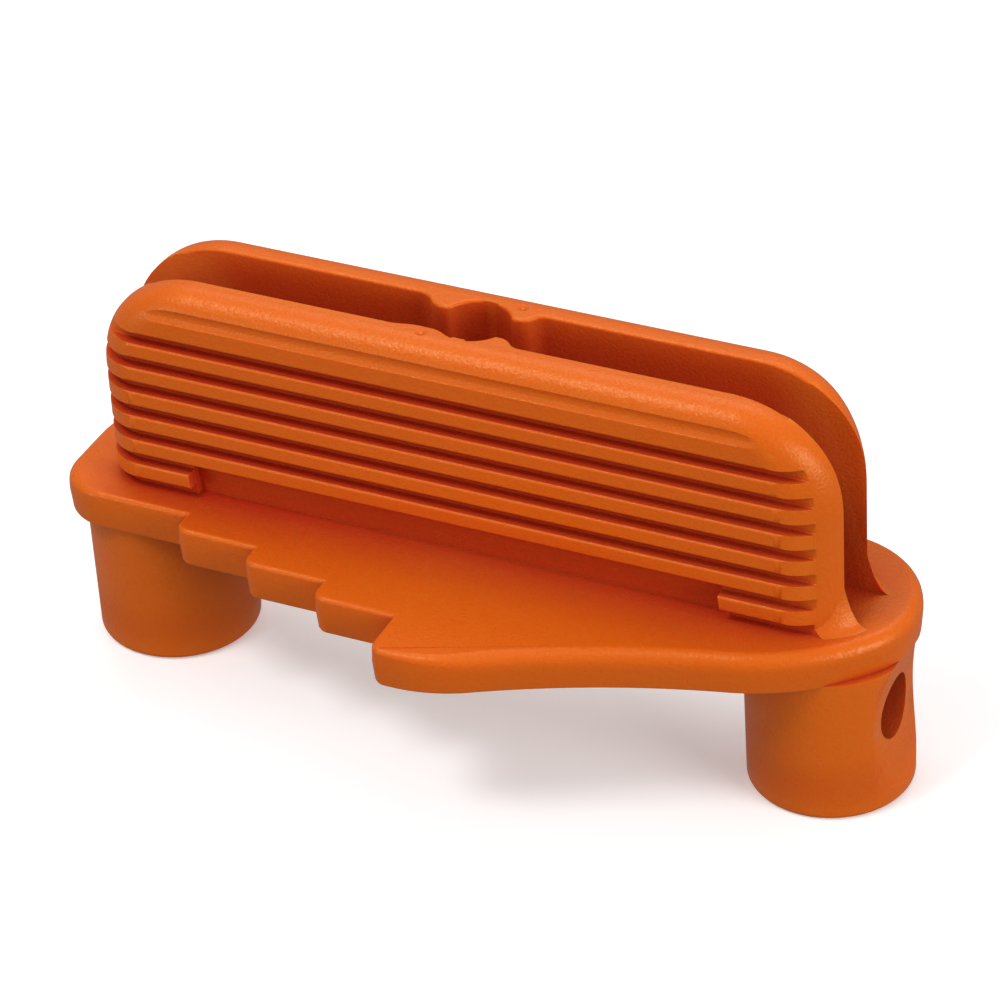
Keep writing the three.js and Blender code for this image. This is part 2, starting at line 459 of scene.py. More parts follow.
_rib_low, _rib_high = reach("front_rib_4")
GRIP_END = -_rib_low.x
GRIP_TOP = reach("front_grip_wall")[1].z
HALF_WIDTH = GUIDE_Y - _rib_low.y
FIRST_RIB_TOP = reach("front_rib_1")[1].z
RIB_PITCH = (FIRST_RIB_TOP - _rib_high.z) / 3
RIB_HEIGHT = _rib_high.z - _rib_low.z
GROOVE_HEIGHT = RIB_PITCH - RIB_HEIGHT
SLOT_HALF = GUIDE_Y - reach("front_guide_lip_left")[0].y
SHORT_RIB_LEFT = reach("front_short_rib_left")[1].x
SHORT_RIB_RIGHT = reach("front_short_rib_right")[0].x


# ---------------------------------------------------------------------------------------------
# Material


class Net:
    """Adds nodes to one material's tree."""

    def __init__(self, name):
        self.material = bpy.data.materials.new(name)
        self.material.use_nodes = True
        self.tree = self.material.node_tree
        self.tree.nodes.clear()

    def node(self, kind, settings=None, **sockets):
        """A node with its settings, and its sockets set or linked by name."""
        made = self.tree.nodes.new(kind)
        for key, value in (settings or {}).items():
            if key == "stops":
                self.set_stops(made.color_ramp, value)
            else:
                setattr(made, key, value)
        for key, value in sockets.items():
            self.join(made.inputs[self.socket_name(made, key)], value)
        return made

    @staticmethod
    def socket_name(made, key):
        if key[0] == "_":
            return int(key[1:])
        words = key.replace("_", " ")
        return next(s.name for s in made.inputs if s.name.lower() == words.lower())

    @staticmethod
    def set_stops(ramp, stops):
        while len(ramp.elements) > 2:
            ramp.elements.remove(ramp.elements[-1])
        while len(ramp.elements) < len(stops):
            ramp.elements.new(0.5)
        for element, (place, colour) in zip(ramp.elements, stops):
            element.position = place
            element.color = (*colour, 1)

    def join(self, socket, value):
        if isinstance(value, Value):
            value = value.socket
        if isinstance(value, bpy.types.NodeSocket):
            self.tree.links.new(value, socket)
        elif hasattr(value, "__len__") and len(value) == 3 and socket.type == "RGBA":
            socket.default_value = (*value, 1)
        else:
            socket.default_value = value

    def value(self, made, output=0):
        return Value(self, made.outputs[output])

    def math(self, operation, *terms):
        sockets = {f"_{i}": term for i, term in enumerate(terms)}
        return self.value(self.node("ShaderNodeMath", {"operation": operation}, **sockets))


class Value:
    """A number that varies over the surface, for use in Python expressions."""

    def __init__(self, net, socket):
        self.net = net
        self.socket = socket

    def __add__(self, other):
        return self.net.math("ADD", self, other)

    def __sub__(self, other):
        return self.net.math("SUBTRACT", self, other)

    def __rsub__(self, other):
        return self.net.math("SUBTRACT", other, self)

    def __mul__(self, other):
        return self.net.math("MULTIPLY", self, other)

    __radd__ = __add__
    __rmul__ = __mul__

    def clamped(self):
        made = self.net.node("ShaderNodeClamp", None, Value=self)
        return self.net.value(made)


CLOUD_SCALE = 38.0
GRAIN_SCALE = 900.0
SPECKLE_SCALE = 2600.0
RUBBED_FROM = 0.515
RUBBED_GAIN = 6.0
RUBBED_COLOUR = (0.88, 0.26, 0.03)
# Reach and strength of the painted shade that darkens the hollows.
SHELTER_REACH = 13 * MM
SHELTER_GAIN = 2.4
SHELTER_FROM = 0.38
FOOT_GAIN = 200
FOOT_FROM = 0.3
SPECKLE_HEIGHT = 0.08 * MM
RED_DEPTH = 1.6 * MM
CLOUD_SHARE = 0.2
RUBBED_SHARE = 0.3
GRAIN_SHEEN = 0.14
SPECKLE_SHEEN = 0.34
RECESS_SHEEN = 0.45


def noise(net, place, scale, detail=2.0, roughness=0.5):
    """Noise over the surface; the scale is in waves per metre."""
    made = net.node(
        "ShaderNodeTexNoise",
        None,
        Vector=place,
        Scale=scale,
        Detail=detail,
        Roughness=roughness,
    )
    return net.value(made)


def moulded_plastic(finish):
    """Satin orange moulding: faint clouds where the plastic ran, painted shade darkening the hollows,
    fine speckled sheen and rubbed edges.
    """
    net = Net("orange_moulded_plastic")
    place = net.node("ShaderNodeTexCoord").outputs["Object"]
    clouds = noise(net, place, CLOUD_SCALE, 3.0, 0.55)
    speckle = noise(net, place, SPECKLE_SCALE, 2.0, 0.6)
    grain = noise(net, place, GRAIN_SCALE, 3.0, 0.5)
    edge = net.value(net.node("ShaderNodeNewGeometry"), "Pointiness")
    rubbed = ((edge - RUBBED_FROM) * RUBBED_GAIN).clamped()
    # Painted shade: an occlusion mask darkens the hollows towards the shade colour. The clouds mottle
    # it, and it is kept off the lowest millimetres near the floor.
    open_air = net.node(
        "ShaderNodeAmbientOcclusion", {"samples": 8, "only_local": False}, Distance=SHELTER_REACH
    )
    sheltered = 1 - net.value(open_air, 1)
    height = net.value(net.node("ShaderNodeSeparateXYZ", None, Vector=place), "Z")
    above_foot = (height * FOOT_GAIN - FOOT_FROM).clamped()
    shade = sheltered * SHELTER_GAIN - SHELTER_FROM + (clouds - 0.5) * CLOUD_SHARE
    painted_shade_mask = shade.clamped() * above_foot
    # Mixes the painted shade colour into the plastic where the occlusion mask is strong.
    painted_shade_mix = net.node(
        "ShaderNodeMix",
        {"data_type": "RGBA"},
        _0=painted_shade_mask,
        _6=tuple(finish.plastic),
        _7=tuple(finish.deep),
    )
    worn = net.node(
        "ShaderNodeMix",
        {"data_type": "RGBA"},
        _0=rubbed * RUBBED_SHARE,
        _6=painted_shade_mix.outputs[2],
        _7=RUBBED_COLOUR,
    )
    sheen = (grain - 0.5) * GRAIN_SHEEN + (speckle - 0.5) * SPECKLE_SHEEN + painted_shade_mask * RECESS_SHEEN
    relief = grain * 0.1 + speckle * 0.9
    bump = net.node("ShaderNodeBump", None, Strength=1.0, Distance=SPECKLE_HEIGHT, Height=relief)
    shader = net.node(
        "ShaderNodeBsdfPrincipled",
        None,
        Base_Color=worn.outputs[2],
        Roughness=finish.roughness + sheen,
        Normal=bump.outputs[0],
        IOR=1.49,
    )
    shader.inputs["Subsurface Weight"].default_value = 0.3
    shader.inputs["Subsurface Radius"].default_value = (1.0, 0.28, 0.08)
    shader.inputs["Subsurface Scale"].default_value = RED_DEPTH
    shader.inputs["Specular Tint"].default_value = (1.0, 0.72, 0.38, 1)
    net.node("ShaderNodeOutputMaterial", None, Surface=shader.outputs[0])
    return net.material


def plastic():
    """The shared plastic, made once."""
    known = bpy.data.materials.get("orange_moulded_plastic")
    return known or moulded_plastic(bpy.context.scene.gauge_finish)


# ---------------------------------------------------------------------------------------------
# Deck

FRONT_CORNER = 6.5
BACK_CORNER = 12.8
FIRST_TREAD = POST_RADIUS + 0.95
STEP_DEPTH = 3.175
STEP_PITCH = 10.55
STEP_COUNT = 4
STEP_ROUND = 1.8
NOSE_RISER = -2.4
NOSE_FLAT = 2.8
NOSE_RADIUS = 18.0
NOSE_SWEEP = 29.0
WAIST_RADIUS = 108.6
WAIST_HEADING = 13.8
SHOULDER_HEADING = 53.2
PARTING_DROP = 2.2
NOSE_GROWTH = 11.0
BORE_RADIUS = 4.15
SCOOP_RADIUS = 22.5
SCOOP_DEPTH = 2.2
SCOOP_SPAN = 40
RIM_SCOOP_SHIFT = 0.45
CROSS_HOLE_RADIUS = 3.9
CROSS_HOLE_HEIGHT = 11.25
POST_WALL = 4.3
POST_TAPER = 0.15
POST_OVERLAP = 0.4
CORE_ROOF = 0.5
CORE_TAPER = 0.97
CORE_ROUND = 0.3


def s_curve(pen):
    """From the nose to the right end: a long hollow arc, then two tighter arcs that close it."""
    start = pen.at
    nose, waist, shoulder = radians(NOSE_SWEEP), radians(WAIST_HEADING), radians(SHOULDER_HEADING)
    waist_centre = (start[0] + WAIST_RADIUS * sin(nose), start[1] - WAIST_RADIUS * cos(nose))
    pen.arc(waist_centre, WAIST_HEADING - NOSE_SWEEP, 24)
    run = DECK_END - pen.at[0]
    rise = DECK_BACK - BACK_CORNER - pen.at[1]
    a, b = sin(shoulder) - sin(waist), 1 - sin(shoulder)
    c, d = cos(waist) - cos(shoulder), cos(shoulder)
    hip = (run * d - b * rise) / (a * d - b * c)
    tip = (a * rise - c * run) / (a * d - b * c)
    hip_centre = (pen.at[0] - hip * sin(waist), pen.at[1] + hip * cos(waist))
    pen.arc(hip_centre, SHOULDER_HEADING - WAIST_HEADING, 20)
    tip_centre = (pen.at[0] - tip * sin(shoulder), pen.at[1] + tip * cos(shoulder))
    pen.arc(tip_centre, 90 - SHOULDER_HEADING, 12)


def deck_outline():
    """The deck's outline at its parting line, anticlockwise from the left end."""
    pen = Pen("deck", (-DECK_END, FRONT_CORNER - FIRST_TREAD), "xy", DECK_TOP - PARTING_DROP)
    pen.arc((FRONT_CORNER - DECK_END, FRONT_CORNER - FIRST_TREAD), 90, 14)
    for step in range(STEP_COUNT - 1):
        riser = NOSE_RISER - (STEP_COUNT - 1 - step) * STEP_PITCH
        tread = -FIRST_TREAD - step * STEP_DEPTH
        lower = tread - STEP_DEPTH + STEP_ROUND
        pen.line((riser, tread)).line((riser, lower))
        pen.arc((riser + STEP_ROUND, lower), 90, 8)
    pen.line((NOSE_RISER, pen.at[1])).line((NOSE_RISER, STEP_ROUND - DECK_FRONT))
    pen.arc((NOSE_RISER + STEP_ROUND, STEP_ROUND - DECK_FRONT), 90, 8)
    pen.line((NOSE_RISER + NOSE_FLAT, -DECK_FRONT))
    pen.arc((NOSE_RISER + NOSE_FLAT, NOSE_RADIUS - DECK_FRONT), NOSE_SWEEP, 16)
    s_curve(pen)
    pen.arc((DECK_END - BACK_CORNER, DECK_BACK - BACK_CORNER), 90, 20)
    pen.line((BACK_CORNER - DECK_END, DECK_BACK))
    pen.arc((BACK_CORNER - DECK_END, DECK_BACK - BACK_CORNER), 90, 20)
    return pen.fill()


def drawn_out(rise, draft):
    """Pulls the selected flat face up or down, drawn in a little as it goes."""
    bpy.ops.mesh.inset(thickness=draft, use_even_offset=True)
    bpy.ops.transform.translate(value=(0, 0, rise))


def scoop_tool(shift=0.0):
    """The thumb scoop on the right post, up to the parting line; a shift makes it shallower."""
    centre = DECK_END - SCOOP_DEPTH + SCOOP_RADIUS + shift
    start = (centre, -SCOOP_SPAN, CROSS_HOLE_HEIGHT)
    end = (centre, SCOOP_SPAN, CROSS_HOLE_HEIGHT)
    tool = rod("scoop_tool", SCOOP_RADIUS, start, end, 480)
    only(tool)
    bpy.ops.object.mode_set(mode="EDIT")
    bpy.ops.mesh.select_all(action="SELECT")
    bpy.ops.mesh.bisect(
        plane_co=(0, 0, DECK_TOP - PARTING_DROP),
        plane_no=(0, 0, 1),
        use_fill=True,
        clear_outer=True,
    )
    bpy.ops.object.mode_set(mode="OBJECT")
    return tool


def rim_share(edge, sizes):
    """Share of the full rim rounding: small along the treads, growing on the nose and the end."""
    place = middle(edge)
    least = sizes.tread_round / sizes.rim_round
    if place.y > -FIRST_TREAD + FRONT_CORNER - 0.1:
        return 1.0
    nose = (place.x - NOSE_RISER - STEP_ROUND) / NOSE_GROWTH
    left = (FRONT_CORNER - DECK_END - place.x) / FRONT_CORNER
    return least + (1 - least) * min(1.0, max(0.0, nose, left))


def deck_piece(sizes):
    piece = deck_outline()
    bpy.ops.mesh.select_mode(type="FACE")
    bpy.ops.mesh.duplicate()
    draft = sizes.rim_draft / MM
    drawn_out(PARTING_DROP, draft)
    pick(piece, "FACE", lambda f: len(f.verts) > 8 and f.calc_center_median().z < DECK_TOP - 1)
    drawn_out(DECK_UNDER - DECK_TOP + PARTING_DROP, 2 * draft)
    bpy.ops.mesh.select_all(action="SELECT")
    bpy.ops.mesh.remove_doubles(threshold=1e-3)
    bpy.ops.mesh.normals_make_consistent(inside=False)

    def on_top(edge):
        return all(abs(v.co.z - DECK_TOP) < 1e-3 for v in edge.verts)

    def below(edge):
        return all(abs(v.co.z - DECK_UNDER) < 1e-3 for v in edge.verts)

    steps = sizes.round_steps
    pick(piece, "EDGE", below)
    bpy.ops.mesh.bevel(offset=sizes.under_round / MM, segments=2, affect="EDGES", clamp_overlap=True)
    whole(piece)
    weigh(piece, lambda e: rim_share(e, sizes) if on_top(e) else 0.0)
    modifier(
        piece,
        "BEVEL",
        limit_method="WEIGHT",
        width=sizes.rim_round / MM,
        segments=steps + 2,
        use_clamp_overlap=False,
    )
    return piece


# ---------------------------------------------------------------------------------------------
# Posts


def turned_post(name, x, sizes):
    """A tapered round post with a rounded foot, cored from below."""
    deselect_objects()
    bpy.ops.mesh.primitive_cone_add(
        vertices=256,
        radius1=POST_RADIUS - POST_TAPER,
        radius2=POST_RADIUS,
        depth=DECK_UNDER + POST_OVERLAP,
        location=(x, 0, (DECK_UNDER + POST_OVERLAP) / 2),
    )
    bpy.ops.object.transform_apply(location=True)
    piece = fresh(name)

    def foot_ring(edge, low, high):
        reach = [Vector((v.co.x - x, v.co.y)).length for v in edge.verts]
        return all(v.co.z < 0.01 for v in edge.verts) and all(low < r < high for r in reach)

    pick(piece, "FACE", lambda f: f.calc_center_median().z < 0.01)
    bpy.ops.mesh.inset(thickness=POST_WALL - POST_TAPER)
    core = DECK_UNDER - CORE_ROOF
    push(z=core)
    bpy.ops.transform.resize(
        value=(CORE_TAPER, CORE_TAPER, 1), center_override=(x, 0, core), orient_type="GLOBAL"
    )
    rim = POST_RADIUS - POST_TAPER
    pick(piece, "EDGE", lambda e: foot_ring(e, rim - 0.1, rim + 0.1))
    bpy.ops.mesh.bevel(offset=sizes.foot_round / MM, segments=6, affect="EDGES")
    pick(piece, "EDGE", lambda e: foot_ring(e, 1, rim - 2))
    bpy.ops.mesh.bevel(offset=CORE_ROUND, segments=2, affect="EDGES")
    whole(piece)
    return piece


def scooped_post(sizes):
    piece = turned_post("right_post_moulded", POST_X, sizes)
    join_cut(piece, scoop_tool())
    start = (POST_X, 0, CROSS_HOLE_HEIGHT)
    end = (DECK_END + 1, 0, CROSS_HOLE_HEIGHT)
    join_cut(piece, rod("hole_tool", CROSS_HOLE_RADIUS, start, end, 64))
    heal(piece)
    return piece


# ---------------------------------------------------------------------------------------------
# Grip

CORNER_STEPS = 32
EDGE_STEPS = 22
GROOVE_DEPTH = 1.6
GROOVE_FLOOR = -HALF_WIDTH + GROOVE_DEPTH
END_DEPTH = 0.4
LEFT_END = GRIP_END + 0.4
LEFT_SHARE = 0.78
LEFT_TURN = 4.5
FLARE_REACH = 3.0
FRONT_REACH = 0.2
FLARE_RISE = 11.0
FLARE_SWEEP = 86
FLARE_TURN = radians(100)
RELIEF_DEPTH = 2.4
RELIEF_LEAN = 0.5
RELIEF_FILLET = 0.06
BURIED = 0.2
SLOT_ROUND_DROP = 1.6
SEAM_DROP = 0.02
RELIEF_GAP = 0.03
TROUGH_LEFT = -36.5
TROUGH_RIGHT = 33.5
TROUGH_RADIUS = 1.5
TROUGH_DEPTH = 0.45
TROUGH_RISE = 1.45
TROUGH_SWEEP = 60.0
TROUGH_TURN = radians(14)
GROOVE_CORNER = 0.2
GROOVE_REACH = 3.0
MOUTH_LIFT = 0.83
MOUTH_INSET = 0.015
MOUTH_LEAN = 0.07
MOUTH_RISE = 0.4
MOUTH_TURN = 80
FADE_TURN = radians(62)
LEFT_FADE_TURN = radians(50)
FOOT_REACH = 5.5
FOOT_FADE_X = 42.0
FOOT_FADE_RADIUS = 6.0
FOOT_FILLET = 0.06
PIPS = ((-4.6, -4.5), (4.0, 4.3))
PIP_RADIUS = 0.5
DIMPLE_RADIUS = 1.3
DIMPLE_DEPTH = 0.24


def grip_block(sizes):
    """The block of both walls before anything is cut: round upper corners and outer edges."""
    low = DECK_TOP - BURIED
    deselect_objects()
    bpy.ops.mesh.primitive_cube_add(
        size=1,
        location=((GRIP_END - LEFT_END) / 2, 0, (low + GRIP_TOP) / 2),
        scale=(GRIP_END + LEFT_END, 2 * HALF_WIDTH, GRIP_TOP - low),
    )
    bpy.ops.object.transform_apply(location=True, scale=True)
    piece = fresh("grip")
    corner = sizes.grip_corner / MM

    def upper_end(edge):
        place = middle(edge)
        return place.z > GRIP_TOP - 0.1 and abs(place.x) > GRIP_END - 0.1

    pick(piece, "EDGE", upper_end)
    bpy.ops.mesh.bevel(offset=corner, segments=CORNER_STEPS, affect="EDGES", clamp_overlap=False)
    whole(piece)
    upright = sizes.grip_end / MM
    least = sizes.grip_round / sizes.grip_end

    def share(edge):
        a, b = (v.co for v in edge.verts)
        on_side = abs(abs(a.y) - HALF_WIDTH) < 1e-3 and abs(a.y - b.y) < 1e-3
        if not on_side or max(a.z, b.z) < low + 1e-3:
            return 0.0
        rise = min(1.0, max(0.0, (middle(edge).z - GRIP_TOP + corner) / corner))
        full = 1.0 if middle(edge).x > 0 else LEFT_SHARE
        return least + (full - least) * (1 - rise * rise * (3 - 2 * rise))

    weigh(piece, share)
    modifier(
        piece,
        "BEVEL",
        limit_method="WEIGHT",
        width=upright,
        segments=EDGE_STEPS,
        use_clamp_overlap=False,
    )
    return piece


def groove_tool(name, low, high, outward, fade_x, fade_radius, sizes, foot=0.0, left_fade=False):
    """A cutter along the front face and round the left corner, between two ribs or at the foot.

    It is drawn as a section in Y and Z at its right end, its mouth flared so that it leaves
    rounded rib edges. With a fade radius it swings out of the face there, and otherwise it runs
    straight out through the rounded end.
    """
    mouth = sizes.rib_round / MM
    face = -HALF_WIDTH
    lift = MOUTH_LIFT * mouth
    lip = face + mouth * MOUTH_INSET
    pen = Pen(name, (GROOVE_FLOOR, high - GROOVE_CORNER), "yz", fade_x)
    pen.arc((GROOVE_FLOOR - GROOVE_CORNER, high - GROOVE_CORNER), 90, 3)
    pen.line((face + mouth, high))
    pen.arc((face + mouth, high + mouth), -MOUTH_TURN, 4)
    pen.line((pen.at[0] - MOUTH_LEAN, pen.at[1] + MOUTH_RISE))
    top = pen.at[1]
    pen.line((GROOVE_FLOOR - outward, top))
    if foot:
        pen.line((GROOVE_FLOOR - outward, low))
        pen.line((GROOVE_FLOOR - foot, low))
        pen.arc((GROOVE_FLOOR - foot, low + foot), 90, 6)
    else:
        pen.line((GROOVE_FLOOR - outward, low - lift - MOUTH_RISE))
        pen.line((lip - MOUTH_LEAN, low - lift - MOUTH_RISE))
        pen.line((lip, low - lift))
        pen.arc((face + mouth, low - mouth), -MOUTH_TURN, 4)
        pen.line((GROOVE_FLOOR - GROOVE_CORNER, low))
        pen.arc((GROOVE_FLOOR - GROOVE_CORNER, low + GROOVE_CORNER), 90, 3)
    piece = pen.fill()
    bpy.ops.mesh.select_mode(type="FACE")
    turn_x = -LEFT_END + END_DEPTH + LEFT_TURN
    push(x=turn_x - fade_x)
    bpy.ops.mesh.spin(
        steps=12,
        angle=radians(90),
        center=(turn_x, GROOVE_FLOOR + LEFT_TURN, 0),
        axis=(0, 0, 1),
    )
    if left_fade:
        bpy.ops.mesh.spin(
            steps=6,
            angle=-LEFT_FADE_TURN,
            center=(turn_x - LEFT_TURN - outward - 0.5, GROOVE_FLOOR + LEFT_TURN, 0),
            axis=(0, 0, 1),
        )
    else:
        push(y=-GROOVE_FLOOR - LEFT_TURN)
    if fade_radius:
        pick(piece, "FACE", lambda f: all(abs(v.co.x - fade_x) < 1e-3 for v in f.verts))
        bpy.ops.mesh.spin(
            steps=14,
            angle=FADE_TURN,
            center=(fade_x, GROOVE_FLOOR - fade_radius, 0),
            axis=(0, 0, 1),
        )
    bpy.ops.mesh.select_all(action="SELECT")
    bpy.ops.mesh.remove_doubles(threshold=1e-3)
    return whole(piece)


def foot_tool(sizes):
    """The cutter below the short ribs, down to the deck."""
    low = DECK_TOP - SEAM_DROP
    high = FIRST_RIB_TOP - 6 * RIB_PITCH - RIB_HEIGHT
    settings = (FOOT_REACH, FOOT_FADE_X, FOOT_FADE_RADIUS, sizes, FOOT_FILLET, True)
    return groove_tool("foot_tool", low, high, *settings)


def relief_tool():
    """The finger relief between the short ribs, whose end faces lean the same way."""
    low = DECK_TOP - SEAM_DROP
    high = FIRST_RIB_TOP - 5 * RIB_PITCH - RIB_HEIGHT - RELIEF_GAP
    floor = RELIEF_DEPTH - HALF_WIDTH
    pen = Pen("relief_tool", (floor, high), "yz", SHORT_RIB_LEFT + RELIEF_LEAN)
    pen.line((floor, low + RELIEF_FILLET))
    pen.arc((floor - RELIEF_FILLET, low + RELIEF_FILLET), -90, 6)
    pen.line((-HALF_WIDTH - 3, low)).line((-HALF_WIDTH - 3, high))
    piece = pen.fill()
    push(x=SHORT_RIB_RIGHT - SHORT_RIB_LEFT)

    def upper_end(edge):
        a, b = (v.co for v in edge.verts)
        return abs(a.x - b.x) < 1e-3 and min(a.z, b.z) > high - 1e-3

    pick(piece, "EDGE", upper_end)
    bpy.ops.transform.translate(value=(-RELIEF_LEAN, 0, 0))
    return whole(piece)


def trough_tool():
    """The shallow hollow above the top rib, which runs out of the face at both ends."""
    y = TROUGH_DEPTH - HALF_WIDTH - TROUGH_RADIUS
    z = FIRST_RIB_TOP + TROUGH_RISE
    pivot = y - TROUGH_SWEEP
    pen = Pen("trough_tool", (y + TROUGH_RADIUS, z), "yz", TROUGH_RIGHT)
    pen.arc((y, z), 350, 47)
    piece = pen.fill()
    push(x=TROUGH_LEFT - TROUGH_RIGHT)
    bpy.ops.mesh.spin(
        steps=10, angle=TROUGH_TURN, center=(TROUGH_LEFT, pivot, 0), axis=(0, 0, -1)
    )
    pick(piece, "FACE", lambda f: all(abs(v.co.x - TROUGH_RIGHT) < 1e-3 for v in f.verts))
    bpy.ops.mesh.spin(
        steps=10, angle=TROUGH_TURN, center=(TROUGH_RIGHT, pivot, 0), axis=(0, 0, 1)
    )
    bpy.ops.mesh.select_all(action="SELECT")
    bpy.ops.mesh.remove_doubles(threshold=1e-3)
    return whole(piece)


def end_flare(sizes):
    """The foot of the right end, spreading onto the deck round both corners."""
    radius = sizes.grip_end / MM
    x, y = GRIP_END - radius, HALF_WIDTH - radius
    low = DECK_TOP - BURIED
    pen = Pen("end_flare", (x + 2, low), "xz", -y)
    pen.line((x + radius + FLARE_REACH, low))
    pen.line((x + radius + FLARE_REACH, DECK_TOP))
    pen.arc((x + radius + FLARE_REACH, DECK_TOP + FLARE_REACH), -FLARE_SWEEP, 12)
    pen.line((x + 2, pen.at[1]))
    piece = pen.fill()
    bpy.ops.mesh.select_all(action="SELECT")
    bpy.ops.transform.resize(
        value=(1, 1, FLARE_RISE / FLARE_REACH), center_override=(0, 0, DECK_TOP)
    )
    bpy.ops.mesh.select_mode(type="FACE")
    push(y=2 * y)
    bpy.ops.mesh.spin(steps=20, angle=-FLARE_TURN, center=(x, y, 0), axis=(0, 0, 1))
    pick(piece, "FACE", lambda f: all(abs(v.co.y + y) < 1e-3 for v in f.verts))
    bpy.ops.mesh.spin(steps=20, angle=FLARE_TURN, center=(x, -y, 0), axis=(0, 0, 1))
    for side in (-1, 1):
        pick(piece, "FACE", lambda f: all(side * v.co.y > y - 1e-3 for v in f.verts))
        bpy.ops.transform.resize(
            value=(1, (radius + FRONT_REACH) / (radius + FLARE_REACH), 1),
            center_override=(0, side * y, 0),
        )
    bpy.ops.mesh.select_all(action="SELECT")
    bpy.ops.mesh.remove_doubles(threshold=1e-3)
    return whole(piece)


def lip_bend(pen, side, along, lip, inwards):
    """One lip between the slot's face and the bore, drawn in or out, with its corner rounded."""
    height, near, run, corner = lip
    radius = ((run / 2) ** 2 + (height / 2) ** 2) / height
    turn = degrees(2 * atan2(height / 2, run / 2))
    tip = SLOT_HALF - height
    far = near + run
    face_centre = (along * far, side * (SLOT_HALF - radius))
    tip_centre = (along * near, side * (tip + radius))
    rise = tip + corner
    back = sqrt((BORE_RADIUS + corner) ** 2 - rise * rise)
    corner_centre = (along * back, side * rise)
    corner_turn = degrees(atan2(back, rise))
    if inwards:
        pen.line((along * far, side * SLOT_HALF))
        pen.arc(face_centre, side * along * turn, 8)
        pen.arc(tip_centre, -side * along * turn, 8)
        pen.line((along * back, side * tip))
        pen.arc(corner_centre, -side * along * corner_turn, 5)
    else:
        pen.arc(corner_centre, side * along * corner_turn, 5)
        pen.line((along * near, side * tip))
        pen.arc(tip_centre, side * along * turn, 8)
        pen.arc(face_centre, -side * along * turn, 8)


LIPS = {
    ("front", -1): (0.5, 5.4, 4.0, 4.0),
    ("front", 1): (1.4, 4.2, 3.0, 0.5),
    ("rear", -1): (2.1, 4.6, 4.2, 0.8),
    ("rear", 1): (1.7, 4.6, 2.8, 0.6),
}


def bore_point(side, along, lip):
    """Where the rounded corner of a lip runs into the bore."""
    height, corner = lip[0], lip[3]
    rise = SLOT_HALF - height + corner
    back = sqrt((BORE_RADIUS + corner) ** 2 - rise * rise)
    share = BORE_RADIUS / (BORE_RADIUS + corner)
    return along * back * share, side * rise * share


def slot_tool():
    """The slot between the walls with the round guide and its four lips, all through."""
    end = GRIP_END + 8
    pen = Pen("slot_tool", (-end, -SLOT_HALF), "xy", DECK_TOP - 5)
    for wall, side, along in (("front", -1, -1), ("rear", 1, 1)):
        first, second = LIPS[wall, along], LIPS[wall, -along]
        lip_bend(pen, side, along, first, True)
        enter = bore_point(side, along, first)
        leave = bore_point(side, -along, second)
        turn = (degrees(atan2(leave[1], leave[0]) - atan2(enter[1], enter[0]))) % 360
        pen.arc((0, 0), turn, 20)
        lip_bend(pen, side, -along, second, False)
        pen.line((-along * end, side * SLOT_HALF))
        pen.line((-along * end, -side * SLOT_HALF))
    piece = pen.fill()
    push(z=GRIP_TOP - DECK_TOP + 10)
    return whole(piece)


def ball(name, radius, place):
    deselect_objects()
    bpy.ops.mesh.primitive_uv_sphere_add(
        segments=32, ring_count=16, radius=radius, location=place
    )
    bpy.ops.object.transform_apply(location=True)
    made = bpy.context.active_object
    made.name = name
    return made


def gate_pip(piece, x, y):
    """The stub of a moulding gate: a small dome that stands in a shallow dimple."""
    dimple = (x, y, GRIP_TOP + DIMPLE_RADIUS - DIMPLE_DEPTH)
    join_cut(piece, ball("dimple_tool", DIMPLE_RADIUS, dimple))
    join_cut(piece, ball("pip", PIP_RADIUS, (x, y, GRIP_TOP - PIP_RADIUS - 0.01)), "UNION")


def soften_slot(piece, sizes):
    """Rounds the upper edges of the walls along the slot, the lips and the guide."""

    def slot_side(face):
        upright = abs(face.normal.z) < 0.3 and abs(face.normal.x) < 0.999
        return upright and abs(face.calc_center_median().y) < SLOT_HALF + 0.6

    def mouth(edge):
        low = min(v.co.z for v in edge.verts)
        if len(edge.link_faces) != 2 or low < GRIP_TOP - SLOT_ROUND_DROP:
            return False
        if max(abs(v.co.y) for v in edge.verts) > BORE_RADIUS + 0.01:
            return False
        a, b = edge.link_faces
        return slot_side(a) != slot_side(b) and edge.calc_face_angle() > radians(50)

    only(piece)
    bpy.ops.object.mode_set(mode="EDIT")
    found = pick(piece, "EDGE", mouth)
    if not found:
        raise RuntimeError("the slot has no upper edges to round")
    bpy.ops.mesh.bevel(
        offset=sizes.slot_round / MM, segments=3, affect="EDGES", clamp_overlap=False
    )
    whole(piece)


def grip_piece(sizes):
    """Both walls as one block, shaped from the front and the rear alike, then slotted."""
    piece = grip_block(sizes)
    join_cut(piece, end_flare(sizes), "UNION")
    tools = []
    for level in range(6):
        top = FIRST_RIB_TOP - level * RIB_PITCH - RIB_HEIGHT
        low = top - GROOVE_HEIGHT
        groove = groove_tool("groove_tool", low, top, GROOVE_REACH, GRIP_END - 1, 0, sizes)
        tools.append(groove)
    tools.append(foot_tool(sizes))
    tools.append(relief_tool())
    tools.append(trough_tool())
    for tool in tools:
        twin = mirrored(tool, tool.name + "_rear")
        join_cut(piece, tool)
        join_cut(piece, twin)
    join_cut(piece, slot_tool())
    for x, y in PIPS:
        gate_pip(piece, x, y)
    heal(piece, FINE_MERGE_GAP)
    soften_slot(piece, sizes)
    return piece


# ---------------------------------------------------------------------------------------------
# Operators


